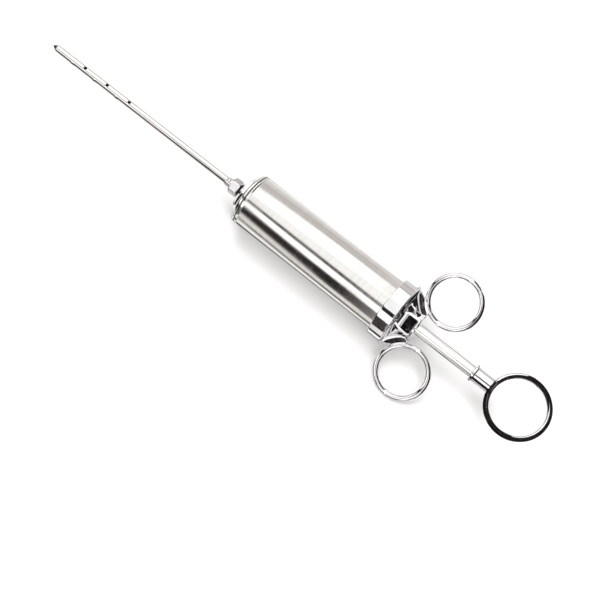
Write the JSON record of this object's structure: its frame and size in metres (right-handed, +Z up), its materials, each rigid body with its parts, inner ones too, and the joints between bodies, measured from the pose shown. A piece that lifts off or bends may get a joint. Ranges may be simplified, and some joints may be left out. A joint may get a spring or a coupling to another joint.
{
  "type": "meat injector",
  "caption": "Steel syringe-style injector with a perforated needle, plain barrel, screw-on grip cap with finger rings and a thumb-ring plunger.",
  "frame": {"origin": "on the barrel's axis, midway along the barrel's plain outside wall (mount barrel_wall)", "axes": "+X along the barrel's axis towards the needle's point, +Z up as it lies on a table on its screw cap and one finger ring, +Y towards that finger ring"},
  "size_m": [0.3604, 0.0746, 0.037],
  "materials": {
    "brushed_barrel": "satin, brushed round the barrel",
    "polished_steel": "polished",
    "chrome_casting": "bright chrome plate",
    "rod_steel": "ground and polished along its length",
    "black_rubber": "satin black",
    "white_acetal": "machined, matte"
  },
  "bodies": {
    "barrel_assembly": {"barrel": "brushed_barrel", "barrel_end": "polished_steel", "adapter_seal": "black_rubber", "tip_adapter": "chrome_casting"},
    "needle_seal": {"needle_washer": "black_rubber"},
    "needle": {"needle_hub": "chrome_casting", "needle_ferrule": "polished_steel", "needle_tube": "polished_steel", "needle_point": "polished_steel"},
    "cap_gasket": {"cap_seal": "black_rubber"},
    "cap": {"grip_cap": "chrome_casting"},
    "piston": {"piston_body": "white_acetal", "front_o_ring": "black_rubber", "rear_o_ring": "black_rubber"},
    "plunger": {"plunger_rod": "rod_steel", "rear_washer": "rod_steel", "front_washer": "rod_steel", "piston_screw": "rod_steel", "thumb_collar": "chrome_casting", "thumb_ring": "chrome_casting"}
  },
  "joints": [
    {"name": "plunger_slide", "type": "slide", "parent": "barrel_assembly", "child": "piston", "axis": [-1, 0, 0], "range_m": [0, 0.084]},
    {"name": "plunger_spin", "type": "hinge", "parent": "piston", "child": "plunger", "pos_m": [0, 0, 0], "axis": [1, 0, 0], "continuous": true},
    {"name": "needle_spin", "type": "hinge", "parent": "needle_seal", "child": "needle", "pos_m": [0, 0, 0], "axis": [1, 0, 0], "range_deg": [0, 1450]},
    {"name": "needle_travel", "type": "slide", "parent": "barrel_assembly", "child": "needle_seal", "axis": [1, 0, 0], "range_m": [0, 0.004]},
    {"name": "cap_spin", "type": "hinge", "parent": "cap_gasket", "child": "cap", "pos_m": [0, 0, 0], "axis": [-1, 0, 0], "range_deg": [0, 1450]},
    {"name": "cap_travel", "type": "slide", "parent": "barrel_assembly", "child": "cap_gasket", "axis": [-1, 0, 0], "range_m": [0, 0.006]}
  ],
  "couplings": [
    {"joint": "needle_spin", "follows": "needle_travel", "rad_per_m": 6283.2},
    {"joint": "cap_spin", "follows": "cap_travel", "rad_per_m": 4188.8}
  ]
}
